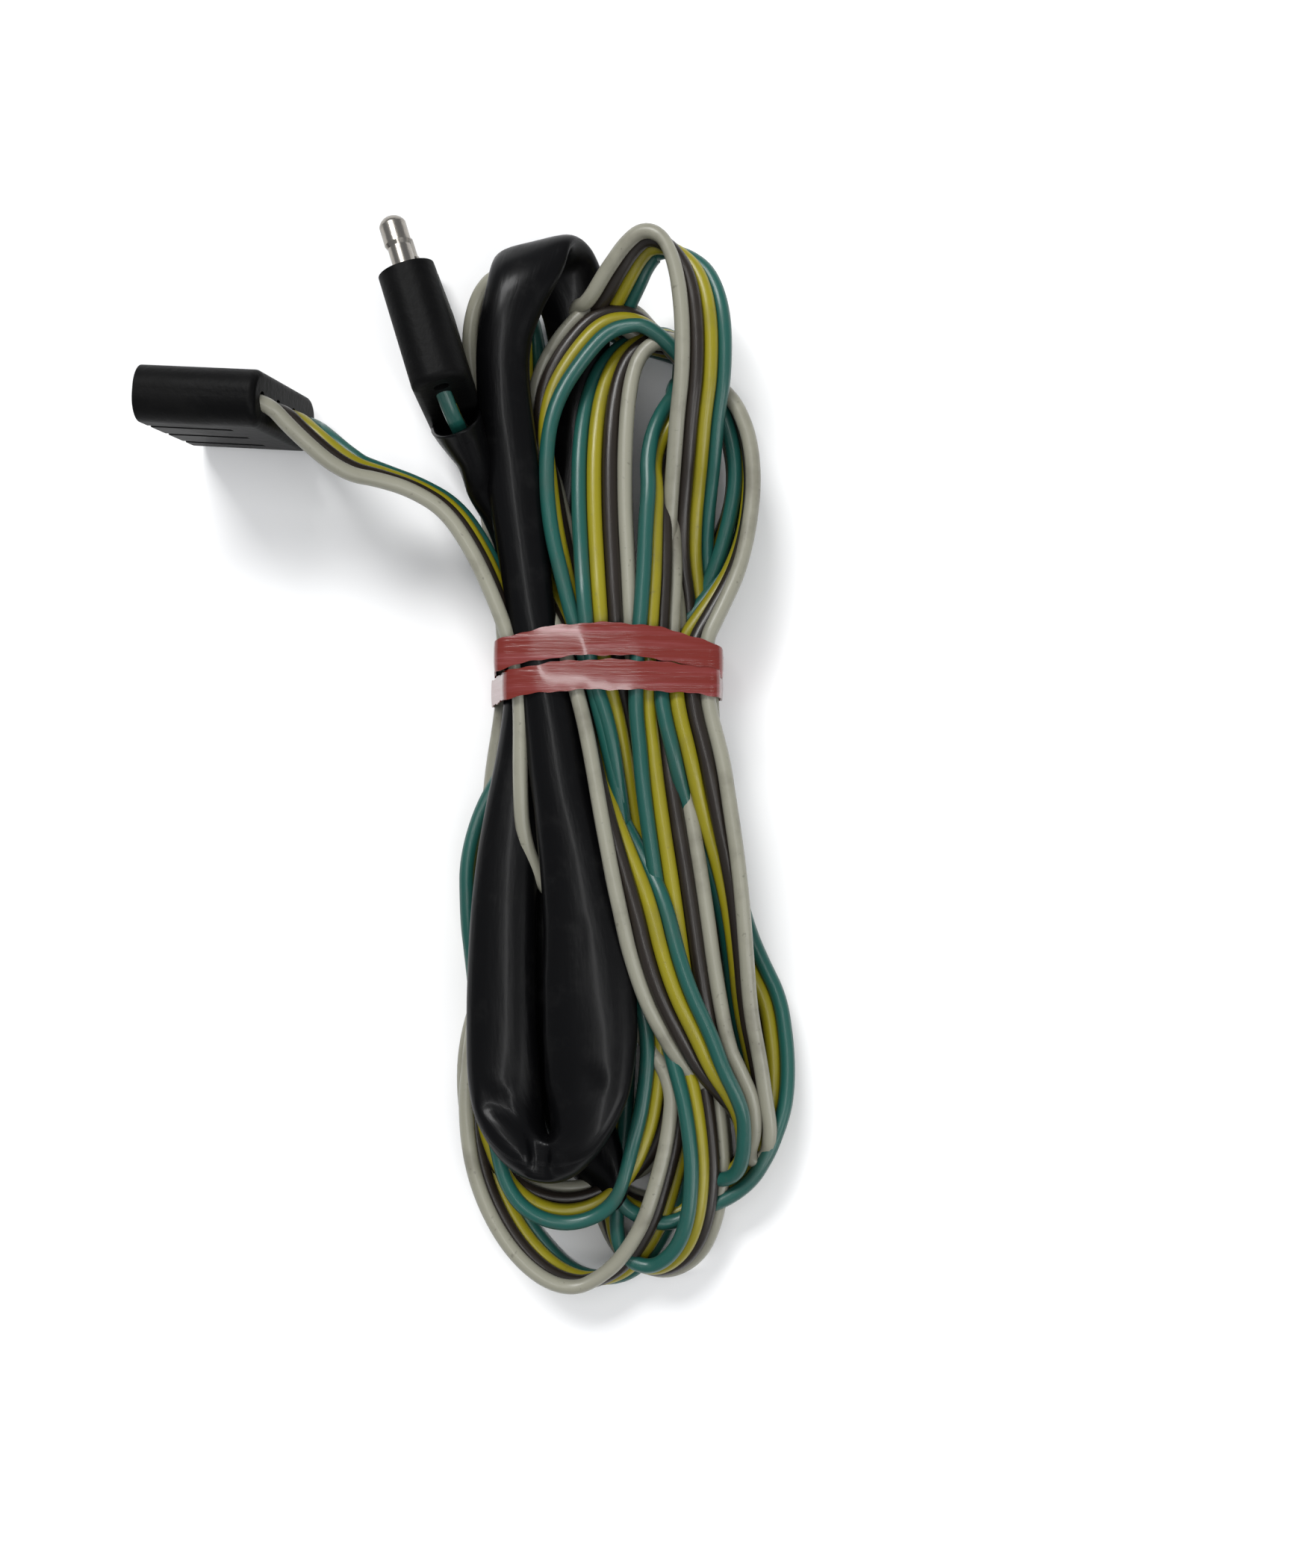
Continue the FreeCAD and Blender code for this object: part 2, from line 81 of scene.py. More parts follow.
camera_data = bpy.data.cameras.new("overhead")
camera_data.sensor_width = 36.0
camera_data.lens = 54.86
camera_data.clip_start = 0.01
camera = bpy.data.objects.new("overhead", camera_data)
camera.location = (0.0316, -0.0032, 0.430)
bpy.context.scene.collection.objects.link(camera)
bpy.context.scene.camera = camera
bpy.context.scene.view_settings.view_transform = "Standard"


# The ribbon's route: one flat four-wire ribbon, folded by hand into a hank between its two
# connectors. It stands on edge round each end of the hank and lies flat along it.
# ---------------------------------------------------------------------------------------
MM = 0.001
WIRE_PITCH = 2.65 * MM
WIRE_RADIUS = 1.34 * MM
# Each entry is the ribbon's middle in millimetres and the way across it from the white wire
# to the green one. Then comes how far the wires fan out, where they do, and inside the sleeve
# the sleeve's half width and half thickness.
BARE_ROUTE = [
    # lead from the socket connector, round the left of the hank to the tie
    ((-35.5, 61.0, 20.0), (0.15, 0.00, -1.00), 3.2),
    ((-31.0, 60.5, 20.5), (0.15, 0.00, -1.00), 3.2),
    ((-27.5, 57.0, 21.0), (0.20, 0.10, -0.95), 2.1),
    ((-21.0, 51.5, 20.0), (0.20, 0.30, -0.95), 1.3),
    ((-15.5, 50.0, 18.5), (0.15, 0.25, -0.95)),
    ((-9.5, 48.0, 17.5), (0.15, 0.20, -0.95)),
    ((-3.5, 44.5, 17.0), (0.20, 0.20, -0.95)),
    ((1.0, 38.0, 17.0), (0.25, 0.15, -0.95)),
    ((4.5, 30.5, 16.5), (0.25, 0.10, -0.95)),
    ((7.0, 22.5, 16.0), (0.15, 0.00, -1.00)),
    ((8.5, 16.0, 16.0), (0.10, 0.00, -1.00)),
    # first long loop, bottom left
    ((9.0, 9.5, 15.0), (0.10, 0.00, -1.00)),
    ((9.0, -2.0, 14.5), (0.15, 0.00, -1.00)),
    ((9.5, -12.0, 12.5), (0.20, 0.00, -1.00)),
    ((12.5, -19.5, 10.0), (0.25, 0.10, -0.95)),
    ((17.5, -24.5, 8.5), (0.30, 0.20, -0.95)),
    ((23.0, -33.5, 6.0), (0.65, 0.35, -0.65)),
    ((31.0, -44.0, 7.0), (0.85, 0.20, -0.50)),
    ((37.5, -55.0, 9.5), (0.65, -0.05, -0.75)),
    ((36.5, -65.0, 9.0), (0.60, -0.15, -0.80)),
    ((34.0, -74.5, 8.5), (0.55, -0.25, -0.80)),
    ((31.5, -82.0, 8.0), (0.50, -0.35, -0.80)),
    ((27.0, -88.5, 7.0), (0.35, -0.40, -0.85)),
    ((22.5, -91.0, 6.0), (0.20, -0.20, -0.95)),
    ((17.5, -91.5, 5.5), (0.10, 0.15, -1.00)),
    ((12.0, -88.5, 6.0), (0.25, 0.40, -0.90)),
    ((6.5, -82.0, 6.0), (0.40, 0.40, -0.80)),
    ((2.0, -72.5, 6.0), (0.50, 0.25, -0.85)),
    ((0.0, -62.0, 5.5), (0.45, 0.05, -0.90)),
    ((1.5, -52.0, 4.0), (0.70, 0.00, -0.70)),
    ((4.5, -40.5, 3.5), (1.00, 0.00, -0.20)),
    ((5.5, -23.0, 3.0), (1.00, 0.00, 0.00)),
    ((6.0, -4.5, 3.0), (1.00, 0.00, 0.00)),
    ((8.5, 10.0, 3.0), (1.00, 0.00, 0.00)),
    # up behind the sleeve and over
    ((9.0, 21.0, 3.0), (1.00, 0.00, 0.00)),
    ((7.5, 35.5, 3.0), (1.00, 0.00, -0.10)),
    ((4.5, 51.5, 3.5), (0.95, 0.00, -0.30)),
    ((4.0, 64.5, 4.5), (0.90, 0.00, -0.40)),
    ((2.0, 74.5, 6.0), (0.85, 0.00, -0.50)),
    ((3.0, 82.0, 6.0), (0.70, -0.20, -0.70)),
    ((4.5, 85.0, 6.0), (0.20, -0.40, -0.90)),
    ((7.5, 83.5, 7.0), (0.10, -0.30, -0.95)),
    ((7.5, 78.5, 7.5), (0.70, 0.00, -0.70)),
    ((7.5, 67.0, 7.0), (1.00, 0.00, -0.20)),
    ((8.0, 51.0, 7.0), (1.00, 0.00, 0.00)),
    ((10.0, 36.5, 9.0), (0.85, 0.00, -0.50)),
    ((15.5, 24.5, 15.0), (0.25, 0.00, -0.95)),
    # front strand that flips over and curls back up
    ((17.5, 16.5, 16.5), (0.10, 0.00, -1.00)),
    ((19.5, 9.5, 16.5), (0.10, 0.00, -1.00)),
    ((21.0, 2.5, 17.0), (0.10, 0.00, -1.00)),
    ((23.5, -7.0, 18.0), (0.30, 0.05, -0.95)),
    ((26.5, -15.5, 19.0), (0.65, 0.10, -0.75)),
    ((29.5, -24.0, 20.5), (0.95, 0.20, -0.30)),
    ((31.5, -32.5, 20.5), (0.95, 0.25, 0.10)),
    ((34.0, -40.0, 19.5), (0.95, 0.25, 0.20)),
    ((37.5, -47.0, 17.5), (0.90, 0.30, 0.35)),
    ((40.5, -53.0, 15.5), (0.60, 0.30, 0.70)),
    ((44.0, -57.5, 13.5), (0.35, 0.15, 0.90)),
    ((46.5, -61.5, 11.5), (0.05, 0.00, 1.00)),
    ((47.5, -66.0, 10.0), (-0.10, -0.10, 1.00)),
    ((47.0, -70.0, 8.0), (-0.15, -0.20, 0.95)),
    ((44.5, -72.0, 6.0), (-0.10, -0.10, 1.00)),
    ((43.5, -71.0, 5.0), (-0.20, 0.00, 1.00)),
    ((43.0, -66.5, 4.0), (-0.30, 0.00, 0.95)),
    ((40.5, -60.5, 4.5), (-0.85, 0.10, 0.55)),
    ((39.5, -52.5, 4.0), (-1.00, 0.10, 0.10)),
    ((39.0, -40.5, 4.0), (-1.00, 0.00, 0.00)),
    ((38.0, -23.0, 3.5), (-1.00, 0.00, 0.00)),
    ((38.0, -4.5, 3.5), (-1.00, 0.00, 0.00)),
    ((38.0, 10.0, 4.0), (-1.00, 0.00, 0.00)),
    # third loop above the tie
    ((37.0, 21.0, 4.0), (-1.00, 0.00, -0.10)),
    ((35.0, 35.5, 4.0), (-1.00, 0.00, 0.10)),
    ((35.0, 51.5, 4.0), (-1.00, 0.00, 0.10)),
    ((37.5, 63.0, 6.0), (-0.50, 0.20, -0.85)),
    ((37.0, 73.5, 10.0), (-0.10, 0.30, -0.95)),
    ((33.5, 75.5, 11.5), (-0.15, 0.30, -0.95)),
    ((29.0, 74.0, 12.0), (-0.35, 0.30, -0.90)),
    ((25.5, 70.5, 13.0), (-0.65, 0.25, -0.70)),
    ((23.5, 64.5, 14.5), (-0.90, 0.10, -0.45)),
    ((22.5, 55.5, 16.5), (-1.00, 0.05, -0.15)),
    ((22.5, 44.5, 18.0), (-1.00, 0.00, 0.00)),
    ((23.0, 35.5, 19.0), (-1.00, 0.00, 0.05)),
    ((23.5, 26.5, 20.5), (-0.95, 0.00, 0.30)),
    # down through the tie to the loop at lower right
    ((24.0, 17.0, 18.5), (-0.85, 0.00, 0.55)),
    ((26.0, 9.5, 16.5), (-0.65, 0.00, 0.75)),
    ((28.0, -2.0, 14.0), (-0.65, 0.00, 0.75)),
    ((30.5, -16.5, 10.0), (-0.80, 0.00, 0.60)),
    ((33.0, -31.0, 9.0), (-0.90, 0.00, 0.45)),
    ((36.0, -42.0, 10.0), (-0.95, 0.10, 0.35)),
    ((38.0, -50.5, 12.0), (-0.85, 0.10, 0.50)),
    ((39.5, -57.0, 12.0), (-0.75, 0.05, 0.65)),
    ((40.5, -64.5, 11.5), (-0.70, 0.05, 0.70)),
    ((41.0, -71.5, 11.0), (-0.70, 0.10, 0.70)),
    ((40.0, -80.0, 10.0), (-0.60, 0.20, 0.75)),
    ((37.5, -86.0, 8.5), (-0.50, 0.30, 0.80)),
    ((33.0, -89.5, 6.0), (-0.30, 0.30, 0.90)),
    ((28.0, -88.5, 5.0), (-0.10, 0.20, 0.95)),
    ((25.0, -85.5, 4.0), (0.10, 0.10, 1.00)),
    ((23.5, -80.5, 4.0), (0.30, 0.10, 0.95)),
    ((22.5, -74.0, 4.0), (0.75, 0.00, 0.65)),
    ((22.5, -60.5, 3.0), (1.00, 0.00, 0.10)),
    ((23.5, -43.0, 3.0), (1.00, 0.00, 0.00)),
    ((26.0, -23.0, 3.0), (1.00, 0.00, 0.00)),
    ((28.0, -4.5, 3.0), (1.00, 0.00, 0.00)),
    ((29.5, 10.0, 3.0), (1.00, 0.00, 0.00)),
    # second loop above the tie
    ((31.0, 19.5, 3.5), (1.00, 0.00, 0.10)),
    ((35.5, 28.0, 4.5), (0.80, -0.20, 0.60)),
    ((41.0, 35.0, 5.5), (0.30, -0.20, 0.95)),
    ((44.5, 42.5, 6.0), (0.05, 0.00, 1.00)),
    ((46.0, 50.5, 6.5), (0.00, 0.00, 1.00)),
    ((45.0, 58.0, 7.5), (0.00, 0.00, 1.00)),
    ((42.5, 64.5, 9.0), (0.00, -0.10, 1.00)),
    ((37.5, 70.0, 11.0), (0.10, -0.20, 0.95)),
    ((31.5, 76.0, 13.0), (0.20, -0.30, 0.95)),
    ((27.5, 78.5, 13.5), (0.15, -0.55, 0.80)),
    ((22.0, 78.0, 14.5), (0.30, -0.70, 0.60)),
    ((17.0, 72.5, 15.0), (0.55, -0.55, 0.60)),
    ((13.0, 65.5, 15.0), (0.60, -0.30, 0.75)),
    ((12.0, 58.0, 15.0), (0.35, 0.00, 0.95)),
    ((13.5, 50.5, 15.0), (-0.15, 0.00, 1.00)),
    ((15.0, 41.0, 16.0), (-0.35, 0.00, 0.95)),
    ((17.0, 32.0, 16.0), (-0.30, 0.00, 0.95)),
    ((18.5, 24.5, 16.5), (-0.20, 0.00, 1.00)),
    # down through the tie to the inner loop at the bottom
    ((20.5, 17.0, 16.5), (-0.10, 0.00, 1.00)),
    ((22.5, 9.5, 15.0), (-0.10, 0.00, 1.00)),
    ((25.5, -2.0, 13.0), (-0.20, 0.00, 1.00)),
    ((28.5, -13.5, 10.5), (-0.45, 0.00, 0.90)),
    ((29.0, -27.0, 8.5), (-0.80, 0.00, 0.60)),
    ((32.0, -37.5, 9.0), (-0.90, 0.00, 0.40)),
    ((34.0, -47.5, 10.0), (-0.85, 0.00, 0.50)),
    ((33.5, -55.5, 10.0), (-0.85, 0.00, 0.50)),
    ((32.0, -64.0, 9.5), (-0.85, -0.10, 0.50)),
    ((28.5, -71.0, 9.0), (-0.65, -0.35, 0.65)),
    ((23.0, -76.0, 8.5), (-0.30, -0.60, 0.75)),
    ((16.0, -78.0, 8.5), (0.00, -0.65, 0.75)),
    ((9.0, -76.0, 8.5), (0.30, -0.55, 0.80)),
    ((3.5, -70.5, 8.0), (0.50, -0.40, 0.75)),
    ((0.0, -62.0, 6.0), (0.60, -0.10, 0.80)),
    ((-1.0, -49.5, 4.0), (0.40, 0.00, 0.90)),
    ((1.0, -36.0, 4.0), (-0.30, 0.00, 0.95)),
    ((2.0, -24.5, 6.5), (-0.85, 0.00, 0.50)),
    ((2.0, -16.5, 6.5), (-0.90, 0.00, 0.40)),
    ((5.5, -6.5, 5.5), (-0.95, -0.20, 0.20)),
    ((12.0, 2.0, 5.5), (-0.95, -0.30, 0.10)),
    ((21.5, 10.0, 6.0), (-0.95, -0.30, 0.20)),
    # fourth loop above the tie, at the far right
    ((28.0, 19.5, 6.0), (-0.90, -0.20, 0.30)),
    ((33.0, 31.0, 6.5), (-0.95, -0.10, 0.20)),
    ((35.5, 43.0, 7.5), (-0.95, 0.00, 0.35)),
    ((36.5, 53.5, 8.0), (-0.95, 0.00, -0.25)),
    ((38.5, 62.5, 9.0), (-0.40, 0.10, -0.90)),
    ((41.0, 67.5, 10.0), (0.00, 0.20, -1.00)),
    ((43.5, 65.5, 10.0), (-0.10, 0.10, -1.00)),
    ((46.0, 62.0, 10.5), (-0.10, 0.05, -1.00)),
    ((48.0, 56.0, 11.0), (-0.10, 0.00, -1.00)),
    ((48.5, 48.5, 11.5), (-0.10, 0.00, -1.00)),
    ((47.5, 40.5, 12.0), (-0.10, 0.00, -1.00)),
    ((45.0, 33.5, 12.5), (-0.30, 0.00, -0.95)),
    ((41.0, 27.0, 13.5), (-0.55, 0.00, -0.85)),
    ((37.0, 21.0, 15.0), (-0.80, 0.00, -0.60)),
    # right-hand strand below the tie and its hidden turn
    ((36.5, 15.0, 18.5), (-1.00, 0.00, 0.00)),
    ((37.0, 9.5, 19.0), (-1.00, 0.00, 0.15)),
    ((39.0, 2.0, 19.5), (-1.00, 0.00, 0.10)),
    ((41.0, -7.5, 17.5), (-0.90, 0.00, -0.45)),
    ((44.5, -21.0, 14.5), (-0.50, 0.00, -0.85)),
    ((46.0, -31.5, 13.0), (-0.35, 0.00, -0.95)),
    ((47.0, -42.5, 11.0), (-0.30, 0.00, -0.95)),
    ((49.0, -51.5, 9.0), (-0.25, 0.00, -0.95)),
    ((50.5, -59.0, 7.0), (-0.15, 0.00, -1.00)),
    ((52.0, -63.5, 6.0), (0.00, 0.20, -1.00)),
    ((51.5, -66.5, 5.0), (0.00, 0.50, -0.85)),
    ((49.5, -68.5, 4.5), (0.00, 0.40, -0.90)),
    ((48.0, -68.0, 5.0), (0.00, 0.10, -1.00)),
    ((48.5, -64.0, 6.5), (-0.15, 0.00, -1.00)),
    ((47.0, -58.0, 8.0), (-0.45, 0.10, -0.90)),
    ((43.5, -53.0, 10.5), (-0.80, 0.10, -0.60)),
    ((40.5, -48.5, 13.0), (-0.95, 0.05, -0.30)),
    ((38.5, -39.0, 15.5), (-1.00, 0.00, 0.10)),
    ((36.5, -24.0, 16.5), (-1.00, 0.00, 0.15)),
    ((34.5, -11.5, 17.5), (-0.95, 0.00, 0.25)),
    ((33.0, -2.0, 18.0), (-0.90, 0.00, 0.45)),
    ((32.5, 3.0, 17.5), (-0.85, 0.00, 0.50)),
    ((31.5, 10.0, 17.5), (-0.80, 0.00, 0.60)),
    # tall first loop above the tie
    ((31.5, 17.0, 18.0), (-0.75, 0.00, 0.65)),
    ((32.0, 25.5, 17.5), (-0.70, 0.00, 0.70)),
    ((32.5, 33.5, 17.0), (-0.70, 0.00, 0.75)),
    ((32.5, 41.5, 16.5), (-0.60, 0.00, 0.80)),
    ((32.5, 47.5, 15.5), (-0.45, 0.00, 0.90)),
    ((32.0, 52.5, 14.0), (-0.40, 0.05, 0.90)),
    ((33.5, 56.5, 13.5), (-0.60, 0.20, 0.75)),
    ((36.0, 59.5, 13.5), (-0.80, 0.45, 0.40)),
    ((38.5, 62.5, 12.5), (-0.85, 0.55, 0.10)),
    ((39.0, 66.5, 9.5), (-0.90, 0.30, -0.30)),
    ((39.5, 70.0, 8.0), (-0.80, -0.10, -0.60)),
    ((37.5, 73.0, 7.0), (-0.30, -0.20, -0.95)),
    ((33.0, 74.0, 6.0), (0.00, 0.00, -1.00)),
    ((29.0, 75.0, 6.0), (0.00, 0.00, -1.00)),
    ((25.0, 77.0, 7.0), (0.20, -0.20, -0.95)),
    ((21.0, 79.0, 9.5), (0.50, -0.30, -0.80)),
    ((23.0, 79.5, 12.5), (0.60, -0.35, -0.70)),
    ((26.0, 84.5, 15.5), (0.50, -0.40, -0.75)),
    ((28.5, 88.5, 17.0), (0.30, -0.45, -0.85)),
    ((31.0, 90.5, 18.0), (0.15, -0.35, -0.90)),
    ((35.0, 89.0, 18.5), (0.35, 0.00, -0.95)),
    ((38.5, 84.5, 19.5), (0.70, 0.20, -0.65)),
    ((40.0, 77.0, 20.5), (0.90, 0.10, -0.40)),
    ((40.0, 67.5, 20.0), (0.90, 0.00, -0.40)),
    ((39.0, 60.5, 18.5), (0.90, 0.00, -0.50)),
    ((38.5, 54.0, 16.5), (0.85, 0.00, -0.50)),
    ((38.0, 48.5, 14.0), (0.85, 0.00, -0.55)),
    ((37.5, 42.5, 12.0), (0.80, 0.00, -0.55)),
    ((37.5, 36.0, 10.5), (0.80, 0.00, -0.60)),
    ((38.5, 29.5, 9.5), (0.70, 0.00, -0.70)),
    ((38.5, 23.0, 9.0), (0.60, 0.00, -0.80)),
    # right-hand outer loop, round the bottom to the end of the sleeve
    ((37.5, 16.5, 9.5), (0.80, 0.00, -0.60)),
    ((36.5, 8.0, 8.0), (1.00, 0.00, 0.00)),
    ((39.5, -3.0, 6.5), (1.00, 0.00, 0.10)),
    ((41.5, -15.0, 6.0), (1.00, 0.00, 0.10)),
    ((43.0, -25.0, 6.0), (1.00, 0.00, 0.10)),
    ((45.0, -31.5, 6.0), (1.00, 0.10, 0.15)),
    ((47.5, -37.0, 6.0), (0.95, 0.20, 0.20)),
    ((50.0, -42.0, 6.0), (0.95, 0.10, 0.20)),
    ((51.0, -47.5, 6.0), (0.95, 0.05, 0.30)),
    ((51.5, -53.0, 6.0), (0.95, -0.05, 0.35)),
    ((51.5, -58.5, 6.0), (0.85, -0.20, 0.50)),
    ((51.0, -63.0, 5.5), (0.60, -0.40, 0.70)),
    ((50.0, -67.5, 5.5), (0.30, -0.50, 0.80)),
    ((48.0, -72.0, 5.0), (0.10, -0.40, 0.90)),
    ((44.0, -75.5, 4.5), (0.00, -0.30, 0.95)),
    ((39.5, -77.0, 4.0), (0.00, -0.30, 0.95)),
    ((34.0, -79.5, 4.5), (0.00, -0.40, 0.90)),
    ((29.0, -78.5, 5.0), (0.10, -0.30, 0.95)),
    ((24.5, -76.0, 5.5), (0.40, -0.30, 0.85)),
]
SLEEVED_ROUTE = [
    # inside the sleeve: up its hidden leg
    ((21.5, -71.5, 6.0), (0.85, -0.20, 0.50), 1.0, 6.0, 2.6),
    ((18.0, -63.0, 6.0), (1.00, 0.00, 0.00), 1.0, 6.0, 3.0),
    ((14.5, -51.0, 6.5), (1.00, 0.00, 0.00), 1.0, 6.0, 3.6),
    ((13.5, -33.5, 7.0), (1.00, 0.00, 0.00), 1.0, 5.6, 3.8),
    ((13.0, -16.5, 7.0), (1.00, 0.00, 0.00), 1.0, 5.2, 3.8),
    ((12.5, -0.5, 6.5), (1.00, 0.00, 0.00), 1.0, 4.8, 3.8),
    ((12.5, 12.5, 5.5), (1.00, 0.00, 0.00), 1.0, 4.4, 3.8),
    ((13.5, 24.5, 5.5), (1.00, 0.00, 0.00), 1.0, 4.3, 3.8),
    ((15.0, 38.0, 6.0), (1.00, 0.00, 0.00), 1.0, 4.4, 3.8),
    ((17.0, 51.0, 7.0), (1.00, 0.00, 0.00), 1.0, 4.4, 3.8),
    ((18.0, 61.5, 7.5), (1.00, 0.00, 0.00), 1.0, 4.6, 3.8),
    ((18.5, 70.5, 7.5), (1.00, 0.00, 0.00), 1.0, 4.9, 3.6),
    ((18.0, 79.5, 8.0), (1.00, 0.10, 0.00), 1.0, 5.6, 3.2),
    ((16.5, 84.5, 9.0), (1.00, 0.20, 0.00), 1.0, 6.3, 2.9),
    ((14.0, 88.0, 11.0), (0.95, 0.25, 0.00), 1.0, 6.9, 2.7),
    ((11.0, 89.0, 15.5), (0.95, 0.25, 0.00), 1.0, 7.0, 2.6),
    ((9.0, 84.5, 19.0), (1.00, 0.20, 0.00), 1.0, 6.4, 2.8),
    ((7.0, 78.5, 19.5), (1.00, 0.10, 0.00), 1.0, 5.3, 3.3),
    ((5.5, 72.5, 19.0), (1.00, 0.00, 0.00), 1.0, 4.7, 3.6),
    # down the front leg, round the kinked bottom and up to the plug
    ((5.5, 65.0, 18.5), (1.00, 0.00, 0.00), 1.0, 4.6, 3.8),
    ((6.5, 56.0, 18.5), (1.00, 0.00, 0.00), 1.0, 4.7, 3.8),
    ((7.5, 47.0, 18.0), (1.00, 0.00, 0.00), 1.0, 4.7, 3.8),
    ((9.0, 36.5, 18.0), (1.00, 0.00, 0.00), 1.0, 4.5, 3.8),
    ((10.5, 25.0, 18.5), (1.00, 0.00, 0.00), 1.0, 4.2, 3.8),
    ((12.0, 17.0, 18.5), (1.00, 0.00, 0.00), 1.0, 4.1, 3.7),
    ((13.5, 8.5, 18.5), (1.00, 0.00, 0.00), 1.0, 4.3, 3.7),
    ((15.0, -2.0, 18.5), (1.00, 0.00, 0.00), 1.0, 4.8, 3.6),
    ((16.5, -9.5, 18.5), (1.00, 0.00, 0.00), 1.0, 5.2, 3.6),
    ((18.5, -20.5, 18.0), (1.00, 0.00, 0.00), 1.0, 6.0, 3.6),
    ((20.0, -30.0, 18.0), (1.00, 0.00, 0.00), 1.0, 7.0, 3.6),
    ((20.5, -40.5, 18.0), (1.00, 0.00, 0.00), 1.0, 8.0, 3.5),
    ((20.5, -51.0, 17.5), (1.00, 0.00, 0.10), 1.0, 8.2, 3.5),
    ((19.5, -59.0, 17.0), (0.95, 0.00, 0.35), 1.0, 7.6, 3.7),
    ((18.0, -65.0, 16.0), (0.60, 0.00, 0.80), 1.0, 6.0, 4.2),
    ((15.0, -68.5, 15.5), (0.00, 0.00, 1.00), 1.0, 5.0, 4.2),
    ((10.5, -68.0, 15.0), (-0.30, 0.00, 0.95), 1.0, 5.0, 4.2),
    ((7.5, -64.0, 14.5), (-0.70, 0.00, 0.70), 1.0, 5.8, 4.2),
    ((5.5, -57.0, 14.0), (-1.00, 0.00, 0.20), 1.0, 6.3, 3.8),
    ((5.0, -47.0, 14.0), (-1.00, 0.00, 0.00), 1.0, 6.3, 3.7),
    ((5.0, -34.5, 14.0), (-1.00, 0.00, 0.00), 1.0, 6.1, 3.6),
    ((5.5, -21.5, 14.0), (-1.00, 0.00, 0.00), 1.0, 5.8, 3.6),
    ((7.0, -8.5, 13.5), (-1.00, 0.00, 0.00), 1.0, 5.4, 3.6),
    ((9.0, 4.5, 12.0), (-1.00, 0.00, 0.00), 1.0, 4.7, 3.7),
    ((9.5, 16.5, 11.0), (-1.00, 0.00, 0.10), 1.0, 4.1, 3.7),
    ((9.5, 27.0, 11.0), (-1.00, 0.00, 0.10), 1.0, 4.2, 3.6),
    ((9.0, 35.5, 11.5), (-1.00, 0.00, 0.10), 1.0, 4.3, 3.5),
    ((7.0, 42.0, 12.5), (-0.95, 0.00, 0.30), 1.0, 4.4, 3.4),
    ((4.0, 48.0, 14.5), (-0.80, 0.10, 0.60), 1.0, 4.6, 3.4),
    ((1.5, 52.5, 17.0), (-0.40, 0.10, 0.90), 1.0, 5.6, 3.4),
    ((-1.0, 56.0, 19.0), (-0.15, 0.10, 1.00), 1.0, 6.6, 3.5),
    ((-2.5, 59.0, 20.5), (-0.05, 0.15, 1.00), 1.2, 7.8, 4.3),
    ((-3.5, 61.5, 21.5), (-0.05, 0.15, 1.00), 2.4, 9.6, 4.9),
    ((-4.5, 64.5, 20.5), (-0.05, 0.15, 1.00), 3.2, 9.0, 3.2),
]
STEPS = 8


def smooth_line(name, places):
    """Points along the NURBS line that has these control points."""
    curve = bpy.data.curves.new(name, "CURVE")
    curve.dimensions = "3D"
    curve.resolution_u = STEPS
    spline = curve.splines.new("NURBS")
    spline.points.add(len(places) - 1)
    for control, place in zip(spline.points, places):
        control.co = (*place, 1.0)
    spline.order_u = 3
    spline.use_endpoint_u = True
    line = bpy.data.objects.new(name, curve)
    mesh = bpy.data.meshes.new_from_object(line)
    points = np.array([vertex.co[:] for vertex in mesh.vertices])
    bpy.data.objects.remove(line)
    bpy.data.meshes.remove(mesh)
    return points


def unit(vectors):
    """Vectors of length one in the same directions."""
    return vectors / np.linalg.norm(vectors, axis=-1, keepdims=True)


def along(points):
    """The direction of travel at each point of a line."""
    return unit(np.gradient(points, axis=0))


class Ribbon:
    """The ribbon's middle line, the way across it, its outward side and what encloses it."""

    def __init__(self, bare_route, sleeved_route):
        route = bare_route + sleeved_route
        middles = np.array([entry[0] for entry in route]) * MM
        across = unit(np.array([entry[1] for entry in route]))
        spread = np.array([entry[2] if len(entry) > 2 else 1.0 for entry in route])
        self.middle = smooth_line("ribbon middle", middles)
        edge = smooth_line("ribbon edge", middles + across * spread[:, None] * WIRE_PITCH)
        arm = edge - self.middle
        self.spread = np.maximum(1.0, np.linalg.norm(arm, axis=1) / WIRE_PITCH)
        self.heading = along(self.middle)
        arm = arm - self.heading * np.sum(arm * self.heading, axis=1, keepdims=True)
        self.across = unit(arm)
        self.outward = np.cross(self.heading, self.across)
        # Inside the sleeve the wires gather two by two, but lie flat over the top fold.
        bare, last = len(bare_route), len(route)
        sleeve_inlet = (bare - 0.5, bare + 1.5)
        before_fold = (bare + 12.0, bare + 13.0)
        after_fold = (bare + 16.5, bare + 18.0)
        sleeve_outlet = (last - 5.0, last - 3.3)
        entries = np.arange(last)
        places = np.linspace(0.0, last - 1.0, len(self.middle))
        self.gathered = np.interp(
            places,
            sleeve_inlet + before_fold + after_fold + sleeve_outlet,
            (0.0, 1.0, 1.0, 0.0, 0.0, 1.0, 1.0, 0.0),
        )
        sizes = np.array([entry[3:] if len(entry) > 3 else sleeved_route[0][3:] for entry in route])
        self.half_width = np.interp(places, entries, sizes[:, 0]) * MM
        self.half_height = np.interp(places, entries, sizes[:, 1]) * MM

    def strand(self, station, side, level):
        """The line of one wire: its station across the flat ribbon, or its corner of the bundle."""
        flat = self.spread * station * WIRE_PITCH
        wide = (1.0 - self.gathered) * flat + self.gathered * side * WIRE_RADIUS
        high = self.gathered * level * WIRE_RADIUS
        return self.middle + self.across * wide[:, None] + self.outward * high[:, None]


ribbon = Ribbon(BARE_ROUTE, SLEEVED_ROUTE)


